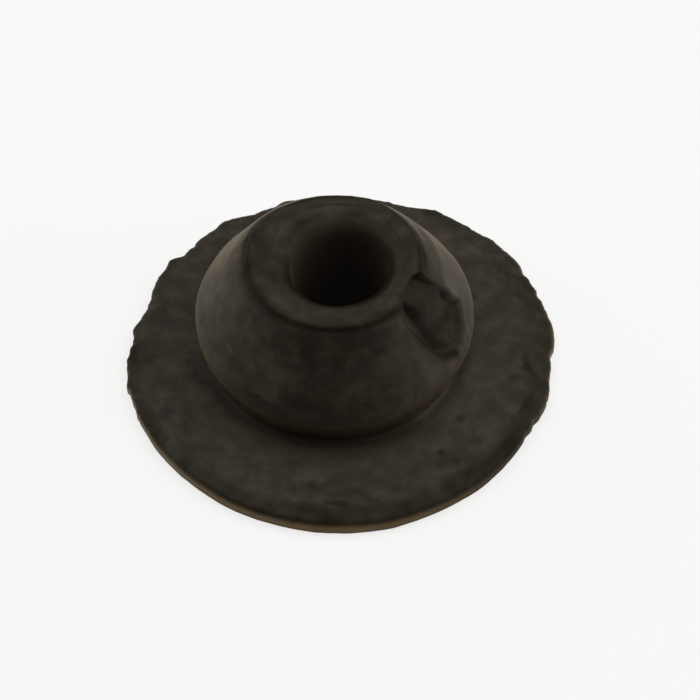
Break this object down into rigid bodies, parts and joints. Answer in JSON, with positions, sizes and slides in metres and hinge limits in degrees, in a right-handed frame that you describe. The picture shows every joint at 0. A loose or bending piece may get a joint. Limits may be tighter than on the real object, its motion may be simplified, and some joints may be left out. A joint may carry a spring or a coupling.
{
  "type": "rubber buffer",
  "caption": "Worn one-piece rubber buffer: thin round flange, bulging boss with a rounded lip, and a plain bore for a fixing screw or pin.",
  "frame": {"origin": "centre of the bore, in the plane of the flange's flat underside", "axes": "+Z along the bore, from the flat underside up through the boss; -Y towards the least worn stretch of the rim"},
  "size_m": [0.0281, 0.0274, 0.0095],
  "materials": {
    "moulded_rubber": "matt, aged and dusty"
  },
  "bodies": {
    "root": {"rubber_buffer": "moulded_rubber"}
  },
  "joints": []
}
